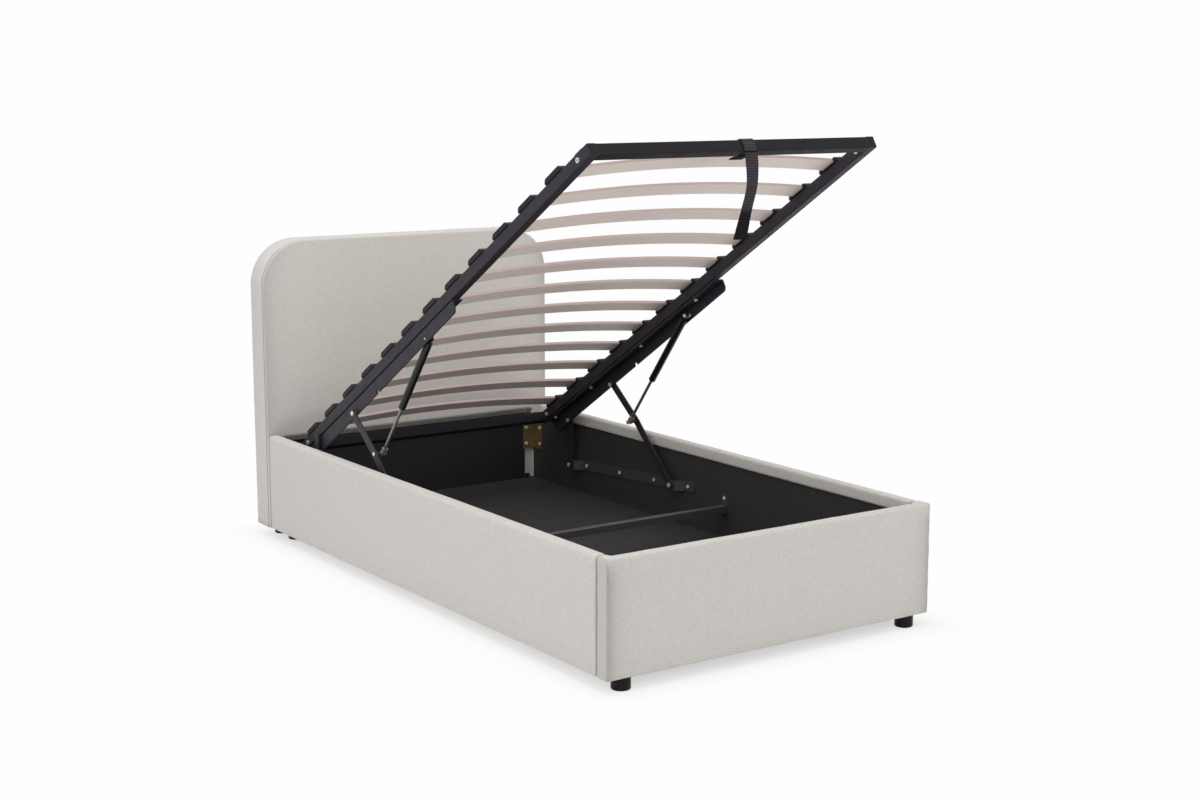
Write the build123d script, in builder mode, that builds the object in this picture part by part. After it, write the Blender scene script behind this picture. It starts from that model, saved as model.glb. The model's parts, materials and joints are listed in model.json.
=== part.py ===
from build123d import *
from math import atan2, cos, degrees, hypot, radians, sin
import os

# Lift-up storage bed: an upholstered box with a hinged slat frame on two gas struts.
# Millimetres, +Z up, +Y from the footboard to the headboard, +X to the right seen from the foot.
# The origin is on the floor under the middle of the bed. The slat frame is shown open.

# Overall sizes
overall_width = 1080
box_length = 1945
headboard_depth = 100
headboard_height = 975
headboard_corner = 150
rail_height = 345
ground_gap = 35

# Upholstered walls
rail_thickness = 33
wall_board = 15
wall_pad = 9
hem = 3
band_depth = 35
lining = 4
corner_return = 50
headboard_pad = 12
back_wrap = 40
back_cover_thickness = 2.5
top_round = 12
inner_round = 6
seam_round = 6
front_round = 12

# Storage well
well_recess = 40
recess_lift = 15
floor_top = 75
floor_thickness = 12
panel_play = 1
cleat_play = 0.5
lining_play = 0.3
head_panel_thickness = 8
head_panel_drop = 33
head_panel_margin = 42
head_panel_toe = 20
head_panel_toe_height = 14
cleat = 25
bearer_width = 60
block_length = 65
block_width = 60

# Feet
foot_radius = 25.5
foot_edge = 4
front_foot_inset = 62
front_foot_setback = 31
rear_foot_inset = 70
rail_foot_setback = 49
headboard_foot_setback = 55

# Cross bar of the well, measured towards the foot and down from the front pivots
bar_lead = 251
bar_drop = 23
bar_width = 25
bar_height = 20
bar_wall = 2
bar_bracket_thickness = 3
bar_bracket_rise = 36
bar_tab = 30

# Head corner plates
plate_flange = 50
plate_screw_inset = 12
plate_height = 96
plate_drop = 67
plate_thickness = 2.5
plate_bolt_shares = (0.2, 0.8)

# Screws and bolts
screw_radius = 2.5
screw_head = 5.5
screw_head_height = 2.4
bolt_radius = 4
bolt_head = 6.5
bolt_head_height = 4.5
bolt_socket = 2.2
bolt_nose = 6

# Lift mechanism, places measured from the head end of the well and down from the rail top
rear_pivot_setback = 272
pivot_span = 582
front_pivot_drop = 145
rear_pivot_drop = 177
link_angle = 41.9
base_plate_height = 32
base_plate_thickness = 4
base_plate_lead = 98
base_plate_tail = 19
base_plate_round = 8
joggle_run = 22
joggle_land = 24
plate_end_margin = 34
plate_screw_shares = (0.208, 0.543, 0.881)
link_thickness = 5
link_width = 25
link_gap = 1
leg_gap = 6
bracket_thickness = 4
rivet_radius = 5
rivet_head = 7
rivet_head_height = 3
pivot_fit = 0.05
head_gap = 0.3
link_tail = 46

# Slat frame, measured along the frame from its foot end and up from the tube tops
deck_angle = 31.5
deck_gap = 8
deck_recess = 32
deck_side_gap = 42
tube_width = 28
tube_height = 34
tube_wall = 2
tube_round = 3
plug_depth = 12
bracket_gap = 5
bracket_bend = 5
bracket_front_setback = 1138
bracket_rear_setback = 30
bracket_front_depth = 76
bracket_rear_depth = 86
bracket_round = 14
front_link_setback = 420
rear_link_setback = 120
link_pivot_depth = 74
strut_top_setback = 938
strut_top_depth = 65
bracket_bolt_setbacks = (1005, 667, 330, 75)
corner_bolt_setback = 50
corner_bolt_depth = 19
fixing_hole = 2.5
foot_hole_depth = 13
foot_hole_shares = (-0.39, 0.49)
side_hole_setbacks = (214, 510, 700)

# Slats and their holders
slat_count = 12
first_slat = 170
last_slat_setback = 104
slat_width = 53
slat_thickness = 8
slat_rise = 25
slat_inset = 8
holder_length = 84
holder_height = 14
holder_overhang = 2
holder_floor = 3
holder_chamfer = 8
slat_play = 0.3
retainer_length = 38
retainer_width = 20
retainer_thickness = 3
retainer_setback = 29

# Gas struts
strut_inset = 20
cylinder_radius = 11
cylinder_neck = 17
cylinder_neck_radius = 4
cylinder_reach = 288
strut_eye_radius = 9
strut_eye_width = 10
strut_pin = 3
rod_radius = 5
rod_fit = 0.05
rod_overlap = 45
bore_end = 95
fork_length = 22
fork_width = 14
fork_slot = 5
nut_radius = 5.5
nut_height = 3
strut_foot_along = 258
strut_foot_offset = 12
strut_boss = 5
boss_clearance = 2
pin_gap = 0.5

# Pull strap
strap_width = 40
strap_thickness = 2.5
strap_centre = 31
strap_lean = 9
strap_length = 224
strap_gap = 0.3
strap_sway_share = 0.045
strap_bend_shares = ((0, 0), (0.25, -1), (0.5, 0), (0.75, 1), (1, 0))

overrun = 10

# Sizes that follow from the ones above
half_width = overall_width / 2
overall_length = box_length + headboard_depth
board_top = rail_height - wall_pad
board_bottom = ground_gap + hem
board_outer = half_width - wall_pad
board_inner = board_outer - wall_board
lining_face = board_inner - lining
band_bottom = rail_height - band_depth
band_face = half_width - rail_thickness
well_head = box_length + well_recess
head_panel_face = well_head - head_panel_thickness
recess_top = rail_height - recess_lift
foot_board_inner = wall_pad + wall_board
foot_lining_face = foot_board_inner + lining
floor_bottom = floor_top - floor_thickness

deck_length = head_panel_face - rail_thickness - 2 * deck_gap
closed_foot = rail_thickness + deck_gap
closed_top = rail_height - deck_recess
rear_pivot = (head_panel_face - rear_pivot_setback, rail_height - rear_pivot_drop)
front_pivot = (rear_pivot[0] - pivot_span, rail_height - front_pivot_drop)
bar_top = front_pivot[1] - bar_drop
slope = radians(deck_angle)
front_link_place = (deck_length - front_link_setback, -link_pivot_depth)
strut_top_place = (deck_length - strut_top_setback, -strut_top_depth)

# The front link turns from its closed place to its open angle and carries the frame with it
closed_pin = (closed_foot + front_link_place[0], closed_top + front_link_place[1])
front_link_length = hypot(closed_pin[0] - front_pivot[0], closed_pin[1] - front_pivot[1])
link_slope = radians(link_angle)
open_pin = (
    front_pivot[0] + front_link_length * cos(link_slope),
    front_pivot[1] + front_link_length * sin(link_slope),
)
deck_origin = (
    open_pin[0] - front_link_place[0] * cos(slope) - front_link_place[1] * sin(slope),
    open_pin[1] + front_link_place[0] * sin(slope) - front_link_place[1] * cos(slope),
)


def deck_point(along, up):
    """World (y, z) of a place on the open slat frame."""
    return (
        deck_origin[0] + along * cos(slope) + up * sin(slope),
        deck_origin[1] - along * sin(slope) + up * cos(slope),
    )


# The rear pin lies where it is as far from the rear pivot with the frame open as with it closed
rear_pin_along = deck_length - rear_link_setback
open_reach = (deck_origin[0] - rear_pivot[0], deck_origin[1] - rear_pivot[1])
closed_reach = (closed_foot - rear_pivot[0], closed_top - rear_pivot[1])
turned_reach = (
    open_reach[0] * cos(slope) - open_reach[1] * sin(slope),
    open_reach[0] * sin(slope) + open_reach[1] * cos(slope),
)
reach_square = closed_reach[0] ** 2 + closed_reach[1] ** 2 - open_reach[0] ** 2 - open_reach[1] ** 2
rear_pin_up = (
    reach_square / 2 - rear_pin_along * (turned_reach[0] - closed_reach[0])
) / (turned_reach[1] - closed_reach[1])
rear_pin = deck_point(rear_pin_along, rear_pin_up)

# Strut ends: the foot rides on the front link, the top on the frame's bracket
strut_foot = (
    front_pivot[0] + strut_foot_along * cos(link_slope) - strut_foot_offset * sin(link_slope),
    front_pivot[1] + strut_foot_along * sin(link_slope) + strut_foot_offset * cos(link_slope),
)
strut_top = deck_point(*strut_top_place)
strut_length = hypot(strut_foot[0] - strut_top[0], strut_foot[1] - strut_top[1])
closed_link_slope = atan2(closed_pin[1] - front_pivot[1], closed_pin[0] - front_pivot[0])
closed_strut_foot = (
    front_pivot[0] - closed_foot + strut_foot_along * cos(closed_link_slope)
    - strut_foot_offset * sin(closed_link_slope),
    front_pivot[1] - closed_top + strut_foot_along * sin(closed_link_slope)
    + strut_foot_offset * cos(closed_link_slope),
)

# Layers across the bed, from the slat frame out to the lining
deck_half_width = lining_face - deck_side_gap
leg_inner = deck_half_width
leg_outer = leg_inner + bracket_thickness
link_inner = leg_outer + leg_gap
link_outer = link_inner + link_thickness
ear_inner = link_outer + link_gap
ear_outer = ear_inner + base_plate_thickness
joggle = lining_face - ear_outer
strut_axis = leg_outer - strut_inset
fork_inner = strut_axis - fork_width / 2
fork_outer = strut_axis + fork_width / 2

sides = ((-1, "left"), (1, "right"))
foot_face = -overall_length / 2

os.makedirs("parts", exist_ok=True)


def level(height):
    """Flat plane at a height, sketched in (x, y from the foot face)."""
    return Plane(origin=(0, foot_face, height))


def upright(x):
    """Plane across the bed at x, sketched in (y, z) and extruded towards +X."""
    return Plane(origin=(x, foot_face, 0), x_dir=(0, 1, 0), z_dir=(1, 0, 0))


def facing(y):
    """Plane seen from the foot, sketched in (x, z) and extruded towards the foot."""
    return Plane(origin=(0, foot_face + y, 0), x_dir=(1, 0, 0), z_dir=(0, -1, 0))


def deck_side(x):
    """Plane of the open slat frame at x, sketched in (along, up) and extruded towards +X."""
    return Plane(
        origin=(x, foot_face + deck_origin[0], deck_origin[1]),
        x_dir=(0, cos(slope), -sin(slope)),
        z_dir=(1, 0, 0),
    )


def deck_end(along):
    """Plane square to the slat frame's length, sketched in (x, up) and extruded towards the foot."""
    y, z = deck_point(along, 0)
    return Plane(origin=(0, foot_face + y, z), x_dir=(1, 0, 0), z_dir=(0, -cos(slope), sin(slope)))


def deck_top(up):
    """Plane parallel to the slat frame, sketched in (x, along) and extruded away from it."""
    y, z = deck_point(0, up)
    return Plane(origin=(0, foot_face + y, z), x_dir=(1, 0, 0), z_dir=(0, sin(slope), cos(slope)))


def spread(side, inner, outer):
    """The lower and upper x of a layer on one side of the bed."""
    return (inner, outer) if side > 0 else (-outer, -inner)


def finish(piece, name):
    piece.part.label = name
    export_step(piece.part, f"parts/{name}.step")


def block(xs, ys, zs, mode=Mode.ADD):
    """Box from three pairs of limits, y counted from the foot face."""
    with BuildSketch(level(zs[0])) as base:
        with Locations(((xs[0] + xs[1]) / 2, (ys[0] + ys[1]) / 2)):
            Rectangle(xs[1] - xs[0], ys[1] - ys[0])
    extrude(base.sketch, amount=zs[1] - zs[0], mode=mode)


def rod_along_x(plane_at, xs, place, radius, mode=Mode.ADD):
    """Round bar across the bed between two x limits."""
    with BuildSketch(plane_at(xs[0])) as section:
        with Locations(place):
            Circle(radius)
    extrude(section.sketch, amount=xs[1] - xs[0], mode=mode)


def button_head(plane_at, side, base, place):
    """Screw head seated on the inward face of a wall, with its drive recess."""
    face = base - screw_head_height
    rod_along_x(plane_at, spread(side, face, base), place, screw_head)
    drive = spread(side, face - overrun, face + screw_head_height / 2)
    rod_along_x(plane_at, drive, place, screw_radius / 2, Mode.SUBTRACT)


def capsule(start, end, width):
    """Flat bar with round ends in the current sketch."""
    middle = ((start[0] + end[0]) / 2, (start[1] + end[1]) / 2)
    length = hypot(end[0] - start[0], end[1] - start[1])
    turn = degrees(atan2(end[1] - start[1], end[0] - start[0]))
    with Locations(Location((middle[0], middle[1], 0), (0, 0, turn))):
        SlotCenterToCenter(length, width)


# Headboard boards
head_front = box_length + headboard_pad
head_back = overall_length - hem
head_board_top = headboard_height - wall_pad
recess_board = well_head + hem
recess_side = board_inner + lining_play
leg_board_inner = recess_side + hem


def headboard_outline(bottom, inset):
    """Front view of the headboard, drawn in from its edge."""
    top = headboard_height - inset
    with Locations((0, (top + bottom) / 2)):
        outline = Rectangle(overall_width - 2 * inset, top - bottom)
    fillet(outline.vertices().group_by(Axis.Y)[-1], radius=headboard_corner - inset)


with BuildPart() as headboard_panel:
    with BuildSketch(facing(head_back)):
        headboard_outline(recess_top + hem, wall_pad)
    extrude(amount=head_back - head_front)
finish(headboard_panel, "headboard_panel")

def lower_board(mode=Mode.ADD):
    """Lower half of the headboard: a board with a post on each side of the well's recess."""
    zs = (board_bottom, recess_top + hem)
    block((-board_outer, board_outer), (recess_board, head_back), zs, mode)
    for side, word in sides:
        block(spread(side, leg_board_inner, board_outer), (head_front, recess_board), zs, mode)


with BuildPart() as headboard_lower_panel:
    lower_board()
finish(headboard_lower_panel, "headboard_lower_panel")

with BuildPart() as headboard_upholstery:
    with BuildSketch(facing(overall_length)):
        headboard_outline(ground_gap, 0)
    extrude(amount=headboard_depth)
    front_edges = headboard_upholstery.faces().sort_by(Axis.Y)[0].edges().sort_by(Axis.Z)[1:]
    fillet(front_edges, radius=front_round)
    back_edges = headboard_upholstery.faces().sort_by(Axis.Y)[-1].edges().sort_by(Axis.Z)[1:]
    fillet(back_edges, radius=seam_round)
    with BuildSketch(facing(head_back)):
        headboard_outline(recess_top + hem, wall_pad)
    extrude(amount=head_back - head_front, mode=Mode.SUBTRACT)
    lower_board(Mode.SUBTRACT)
    recess_zs = (-overrun, recess_top)
    block((-recess_side, recess_side), (box_length - overrun, well_head), recess_zs, Mode.SUBTRACT)
    with BuildSketch(facing(overall_length + overrun)):
        headboard_outline(ground_gap + back_wrap, back_wrap)
    extrude(amount=overrun + hem, mode=Mode.SUBTRACT)
finish(headboard_upholstery, "headboard_upholstery")

with BuildPart() as headboard_back_cover:
    with BuildSketch(facing(head_back + back_cover_thickness)):
        headboard_outline(ground_gap + back_wrap, back_wrap)
    extrude(amount=back_cover_thickness)
finish(headboard_back_cover, "headboard_back_cover")

# Footboard
board_zs = (board_bottom, board_top)
with BuildPart() as footboard_panel:
    block((-board_outer, board_outer), (wall_pad, foot_board_inner), board_zs)
finish(footboard_panel, "footboard_panel")

with BuildPart() as footboard_upholstery:
    block((-half_width, half_width), (0, rail_thickness), (ground_gap, rail_height))
    for side, word in sides:
        block(spread(side, band_face, half_width), (0, corner_return), (ground_gap, rail_height))
    face_edges = footboard_upholstery.faces().sort_by(Axis.Y)[0].edges().sort_by(Axis.Z)[1:]
    return_edges = footboard_upholstery.edges().filter_by(Axis.Y).group_by(Axis.Z)[-1].sort_by(Axis.X)
    fillet(face_edges + [return_edges[0], return_edges[-1]], radius=top_round)
    block((-board_outer, board_outer), (wall_pad, foot_board_inner), board_zs, Mode.SUBTRACT)
    for side, word in sides:
        return_board = spread(side, board_inner, board_outer)
        block(return_board, (foot_board_inner, corner_return), board_zs, Mode.SUBTRACT)
    below_band = (-overrun, band_bottom)
    behind_board = (foot_board_inner, corner_return + overrun)
    block((-board_inner, board_inner), behind_board, below_band, Mode.SUBTRACT)
finish(footboard_upholstery, "footboard_upholstery")

# Side rails
for side, word in sides:
    with BuildPart() as side_rail:
        block(spread(side, board_inner, board_outer), (foot_board_inner, box_length), board_zs)
    finish(side_rail, f"side_rail_{word}")

    with BuildPart() as rail_upholstery:
        with BuildSketch(facing(box_length)) as rail_face:
            with Locations((side * (band_face + half_width) / 2, (ground_gap + rail_height) / 2)):
                Rectangle(rail_thickness, rail_height - ground_gap)
            outer_corner = rail_face.vertices().sort_by_distance((side * half_width, rail_height))[0]
            fillet(outer_corner, radius=top_round)
            inner_corner = rail_face.vertices().sort_by_distance((side * band_face, rail_height))[0]
            fillet(inner_corner, radius=inner_round)
        extrude(amount=box_length - corner_return)
        block(spread(side, board_inner, board_outer), (corner_return, box_length), board_zs, Mode.SUBTRACT)
        cut_ys = (corner_return - overrun, box_length + overrun)
        block(spread(side, band_face - overrun, board_inner), cut_ys, (-overrun, band_bottom), Mode.SUBTRACT)
    finish(rail_upholstery, f"rail_upholstery_{word}")

# Dark lining of the storage well
with BuildPart() as well_lining:
    lining_zs = (board_bottom, band_bottom)
    block((-board_inner, board_inner), (foot_board_inner, foot_lining_face), lining_zs)
    for side, word in sides:
        block(spread(side, lining_face, board_inner), (foot_lining_face, well_head - panel_play), lining_zs)
finish(well_lining, "well_lining")

# Floor of the storage well
well_middle = (foot_lining_face + well_head) / 2
floor_half = lining_face - panel_play

with BuildPart() as floor_panel_foot:
    block((-floor_half, floor_half), (foot_lining_face, well_middle), (floor_bottom, floor_top))
finish(floor_panel_foot, "floor_panel_foot")

with BuildPart() as floor_panel_head:
    block((-floor_half, floor_half), (well_middle, well_head), (floor_bottom, floor_top))
finish(floor_panel_head, "floor_panel_head")

rear_block = box_length - block_length
bearer_end = lining_face - cleat - cleat_play
with BuildPart() as floor_supports:
    bearer_ys = (well_middle - bearer_width / 2, well_middle + bearer_width / 2)
    cleat_ys = (foot_lining_face + block_length + cleat_play, rear_block - cleat_play)
    block((-bearer_end, bearer_end), bearer_ys, (board_bottom, floor_bottom))
    for side, word in sides:
        block(spread(side, lining_face - cleat, lining_face), cleat_ys, (board_bottom, floor_bottom))
        for start in (foot_lining_face, rear_block):
            block(spread(side, lining_face - block_width, lining_face), (start, start + block_length),
                  (ground_gap, floor_bottom))
finish(floor_supports, "floor_supports")

with BuildPart() as head_inner_panel:
    head_panel_half = lining_face - head_panel_margin
    toe_half = head_panel_half + head_panel_toe
    head_panel_ys = (head_panel_face, well_head)
    block((-head_panel_half, head_panel_half), head_panel_ys, (floor_top, rail_height - head_panel_drop))
    block((-toe_half, toe_half), head_panel_ys, (floor_top, floor_top + head_panel_toe_height))
finish(head_inner_panel, "head_inner_panel")

# Feet
foot_places = [
    (side * (half_width - inset), along)
    for side, word in sides
    for inset, along in (
        (front_foot_inset, front_foot_setback),
        (rear_foot_inset, box_length - rail_foot_setback),
        (rear_foot_inset, box_length + headboard_foot_setback),
    )
]
with BuildPart() as feet:
    for x, along in foot_places:
        foot_plane = Plane(origin=(x, foot_face + along, 0), x_dir=(1, 0, 0), z_dir=(0, -1, 0))
        with BuildSketch(foot_plane) as half_profile:
            with BuildLine():
                Polyline((0, 0), (foot_radius, 0), (foot_radius, ground_gap), (0, ground_gap), close=True)
            make_face()
            lower_rim = half_profile.vertices().sort_by_distance((foot_radius, 0))[0]
            fillet(lower_rim, radius=foot_edge)
        revolve(half_profile.sketch, axis=Axis(foot_plane.origin, (0, 0, 1)))
finish(feet, "feet")

# Cross bar and its brackets
bar_place = front_pivot[0] - bar_lead
bar_ys = (bar_place - bar_width / 2, bar_place + bar_width / 2)
bar_bottom = bar_top - bar_height
bar_end = lining_face - bar_bracket_thickness
bar_screw = (bar_place, bar_top + bar_bracket_rise - bar_width / 2)

with BuildPart() as cross_bar:
    block((-bar_end, bar_end), bar_ys, (bar_bottom, bar_top))
    block((-bar_end - overrun, bar_end + overrun), (bar_ys[0] + bar_wall, bar_ys[1] - bar_wall),
          (bar_bottom + bar_wall, bar_top - bar_wall), Mode.SUBTRACT)
finish(cross_bar, "cross_bar")

with BuildPart() as cross_bar_brackets:
    for side, word in sides:
        shelf_bottom = bar_bottom - bar_bracket_thickness
        tab_layer = spread(side, bar_end, lining_face)
        block(tab_layer, bar_ys, (shelf_bottom, bar_screw[1]))
        rod_along_x(upright, tab_layer, bar_screw, bar_width / 2)
        block(spread(side, lining_face - bar_tab, bar_end), bar_ys, (shelf_bottom, bar_bottom))
finish(cross_bar_brackets, "cross_bar_brackets")

# Head corner plates
plate_face = head_panel_face - plate_thickness
plate_top = rail_height - plate_drop
plate_zs = (plate_top - plate_height, plate_top)
with BuildPart() as corner_plates:
    for side, word in sides:
        rail_flange = (head_panel_face - plate_flange, head_panel_face)
        block(spread(side, lining_face - plate_thickness, lining_face), rail_flange, plate_zs)
        block(spread(side, lining_face - plate_flange, lining_face), (plate_face, head_panel_face), plate_zs)
finish(corner_plates, "corner_plates")

# Base plates: a bar along the lining, stepped inwards at both pivots
plate_slope = atan2(rear_pivot[1] - front_pivot[1], rear_pivot[0] - front_pivot[0])
plate_span = hypot(rear_pivot[0] - front_pivot[0], rear_pivot[1] - front_pivot[1])
plate_outline = (
    (-base_plate_lead, 0),
    (-joggle_land - joggle_run, 0),
    (-joggle_land, joggle),
    (joggle_land, joggle),
    (joggle_land + joggle_run, 0),
    (plate_span - joggle_land - joggle_run, 0),
    (plate_span - joggle_land, joggle),
    (plate_span + base_plate_tail, joggle),
)


def plate_point(along):
    """World (y, z) of a place on the line through both base pivots."""
    return (front_pivot[0] + along * cos(plate_slope), front_pivot[1] + along * sin(plate_slope))


for side, word in sides:
    with BuildPart() as base_plate:
        plan = Plane(
            origin=(side * lining_face, foot_face + front_pivot[0], front_pivot[1]),
            x_dir=(0, cos(plate_slope), sin(plate_slope)),
            z_dir=(0, -sin(plate_slope), cos(plate_slope)),
        )
        with BuildSketch(plan.offset(-base_plate_height / 2)):
            with BuildLine():
                near_face = [(along, side * step) for along, step in plate_outline]
                far_face = [(along, side * (step + base_plate_thickness)) for along, step in plate_outline]
                Polyline(*near_face, *reversed(far_face), close=True)
            make_face()
        extrude(amount=base_plate_height)
        cross_edges = base_plate.edges().filter_by(Axis.X).sort_by(Axis.Y)
        fillet(cross_edges[:2] + cross_edges[-2:], radius=base_plate_round)
        for along in (0, plate_span):
            rod_along_x(upright, spread(side, ear_inner - overrun, lining_face), plate_point(along),
                        rivet_radius, Mode.SUBTRACT)
    finish(base_plate, f"base_plate_{word}")

# Screws of the base plates, the cross bar and the corner plates
plate_screw_places = [plate_end_margin - base_plate_lead]
plate_screw_places += [share * plate_span for share in plate_screw_shares]
with BuildPart() as wall_screws:
    for side, word in sides:
        for along in plate_screw_places:
            button_head(upright, side, lining_face - base_plate_thickness, plate_point(along))
        button_head(upright, side, bar_end, bar_screw)
        for share in plate_bolt_shares:
            height = plate_zs[0] + share * plate_height
            rail_screw = (head_panel_face - plate_flange + plate_screw_inset, height)
            button_head(upright, side, lining_face - plate_thickness, rail_screw)
            panel_screw = (side * (lining_face - plate_flange + plate_screw_inset), height)
            with BuildSketch(facing(plate_face)) as head:
                with Locations(panel_screw):
                    Circle(screw_head)
            extrude(head.sketch, amount=screw_head_height)
            with BuildSketch(facing(plate_face - screw_head_height / 2)) as drive:
                with Locations(panel_screw):
                    Circle(screw_radius / 2)
            extrude(drive.sketch, amount=screw_head_height, mode=Mode.SUBTRACT)
finish(wall_screws, "wall_screws")


def rivet(plane_at, side, shaft, heads, place):
    """Pivot pin across the bed between two x limits, with a head from each x in heads."""
    rod_along_x(plane_at, spread(side, *shaft), place, rivet_radius)
    for start in heads:
        rod_along_x(plane_at, spread(side, start, start + rivet_head_height), place, rivet_head)


with BuildPart() as base_pivots:
    for side, word in sides:
        inner_end = link_inner - head_gap
        for along in (0, plate_span):
            heads = (inner_end - rivet_head_height, ear_outer)
            rivet(upright, side, (inner_end, ear_outer), heads, plate_point(along))
finish(base_pivots, "base_pivots")

# Links: the long front one carries the strut's foot, the short rear one steers the frame
tail_reach = hypot(rear_pin[0] - rear_pivot[0], rear_pin[1] - rear_pivot[1])
tail_end = (
    rear_pin[0] + (rear_pin[0] - rear_pivot[0]) * link_tail / tail_reach,
    rear_pin[1] + (rear_pin[1] - rear_pivot[1]) * link_tail / tail_reach,
)
for side, word in sides:
    layer = spread(side, link_inner, link_outer)
    with BuildPart() as front_link:
        with BuildSketch(upright(layer[0])):
            capsule(front_pivot, strut_foot, link_width)
            capsule(strut_foot, open_pin, link_width)
            with Locations(front_pivot, open_pin):
                Circle(rivet_radius + pivot_fit, mode=Mode.SUBTRACT)
        extrude(amount=link_thickness)
        stud = spread(side, fork_outer + nut_height + pin_gap, link_inner)
        rod_along_x(upright, stud, strut_foot, strut_boss)
    finish(front_link, f"front_link_{word}")

    with BuildPart() as rear_link:
        with BuildSketch(upright(layer[0])):
            capsule(rear_pivot, tail_end, link_width)
            with Locations(rear_pivot):
                Circle(rivet_radius + pivot_fit, mode=Mode.SUBTRACT)
        extrude(amount=link_thickness)
        rod_along_x(upright, spread(side, link_outer, link_outer + rivet_head_height), rear_pin, rivet_head)
    finish(rear_link, f"rear_link_{word}")

# Slat frame
tube_inner = deck_half_width - tube_width
bracket_front = deck_length - bracket_front_setback
bracket_rear = deck_length - bracket_rear_setback


bore_width = tube_width - 2 * tube_wall
bore_height = tube_height - 2 * tube_wall


def tube_section():
    """Rounded rectangular tube section in the current sketch."""
    RectangleRounded(tube_width, tube_height, tube_round)
    RectangleRounded(bore_width, bore_height, tube_round - tube_wall, mode=Mode.SUBTRACT)


for side, word in sides:
    with BuildPart() as side_tube:
        with BuildSketch(deck_end(deck_length)):
            with Locations((side * (deck_half_width - tube_width / 2), -tube_height / 2)):
                tube_section()
        extrude(amount=deck_length)
        with BuildSketch(deck_top(-tube_height - overrun)) as holes:
            hole_x = side * (deck_half_width - tube_width / 2)
            with Locations(*[(hole_x, setback) for setback in side_hole_setbacks]):
                Circle(fixing_hole)
        extrude(holes.sketch, amount=overrun + 2 * tube_wall, mode=Mode.SUBTRACT)
    finish(side_tube, f"side_tube_{word}")

for start, name in ((0, "foot_tube"), (deck_length - tube_width, "head_tube")):
    with BuildPart() as end_tube:
        with BuildSketch(deck_side(-tube_inner)):
            with Locations((start + tube_width / 2, -tube_height / 2)):
                tube_section()
        extrude(amount=2 * tube_inner)
        if start == 0:
            with BuildSketch(deck_end(2 * tube_wall)) as holes:
                with Locations(*[(share * tube_inner, -foot_hole_depth) for share in foot_hole_shares]):
                    Circle(fixing_hole)
            extrude(holes.sketch, amount=2 * tube_wall + overrun, mode=Mode.SUBTRACT)
    finish(end_tube, name)

with BuildPart() as tube_plugs:
    for side, word in sides:
        middle = (side * (deck_half_width - tube_width / 2), -tube_height / 2)
        for along in (plug_depth, deck_length):
            with BuildSketch(deck_end(along)):
                with Locations(middle):
                    RectangleRounded(bore_width, bore_height, tube_round - tube_wall)
            extrude(amount=plug_depth)
finish(tube_plugs, "tube_plugs")

flange_top = -tube_height - bracket_gap
flange_bottom = flange_top - bracket_thickness
leg_outline = (
    (bracket_front, flange_top),
    (bracket_front, -bracket_front_depth),
    (bracket_rear, -bracket_rear_depth),
    (bracket_rear, flange_top),
)
for side, word in sides:
    leg_layer = spread(side, leg_inner, leg_outer)
    with BuildPart() as upper_bracket:
        with BuildSketch(deck_side(leg_layer[0])) as leg:
            with BuildLine():
                Polyline(*leg_outline, close=True)
            make_face()
            tip = leg.vertices().sort_by_distance(leg_outline[1])[0]
            heel = leg.vertices().sort_by_distance(leg_outline[2])[0]
            fillet([tip, heel], radius=bracket_round)
            with Locations(closed_strut_foot):
                Circle(strut_boss + boss_clearance, mode=Mode.SUBTRACT)
            with Locations((closed_strut_foot[0], closed_strut_foot[1] - bracket_rear_depth / 2)):
                Rectangle(2 * (strut_boss + boss_clearance), bracket_rear_depth, mode=Mode.SUBTRACT)
            with Locations(front_link_place, (rear_pin_along, rear_pin_up)):
                Circle(rivet_radius, mode=Mode.SUBTRACT)
            with Locations(strut_top_place):
                Circle(strut_pin, mode=Mode.SUBTRACT)
        extrude(amount=bracket_thickness)
        with BuildSketch(deck_top(flange_bottom)):
            flange = spread(side, tube_inner, leg_outer)
            with Locations(((flange[0] + flange[1]) / 2, (bracket_front + bracket_rear) / 2)):
                Rectangle(flange[1] - flange[0], bracket_rear - bracket_front)
        extrude(amount=bracket_thickness)
        bend_y, bend_z = deck_point((bracket_front + bracket_rear) / 2, flange_top)
        bend = upper_bracket.edges().sort_by_distance((side * leg_outer, foot_face + bend_y, bend_z))[0]
        fillet(bend, radius=bracket_bend)
    finish(upper_bracket, f"upper_bracket_{word}")

with BuildPart() as bracket_rivets:
    for side, word in sides:
        front_end = link_outer + head_gap
        inner_head = leg_inner - rivet_head_height
        rivet(deck_side, side, (leg_inner, front_end), (inner_head, front_end), front_link_place)
        rear_end = link_inner - head_gap
        rivet(deck_side, side, (leg_inner, rear_end), (inner_head,), (rear_pin_along, rear_pin_up))
finish(bracket_rivets, "bracket_rivets")


def hex_bolt_down(x, along, base):
    """Bolt head under a face of the slat frame, with its hexagon socket."""
    with BuildSketch(deck_top(base - bolt_head_height)) as head:
        with Locations((x, along)):
            Circle(bolt_head)
    extrude(head.sketch, amount=bolt_head_height)
    with BuildSketch(deck_top(base - bolt_head_height - overrun)) as socket:
        with Locations((x, along)):
            RegularPolygon(bolt_socket, side_count=6)
    extrude(socket.sketch, amount=overrun + bolt_head_height / 2, mode=Mode.SUBTRACT)


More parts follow.
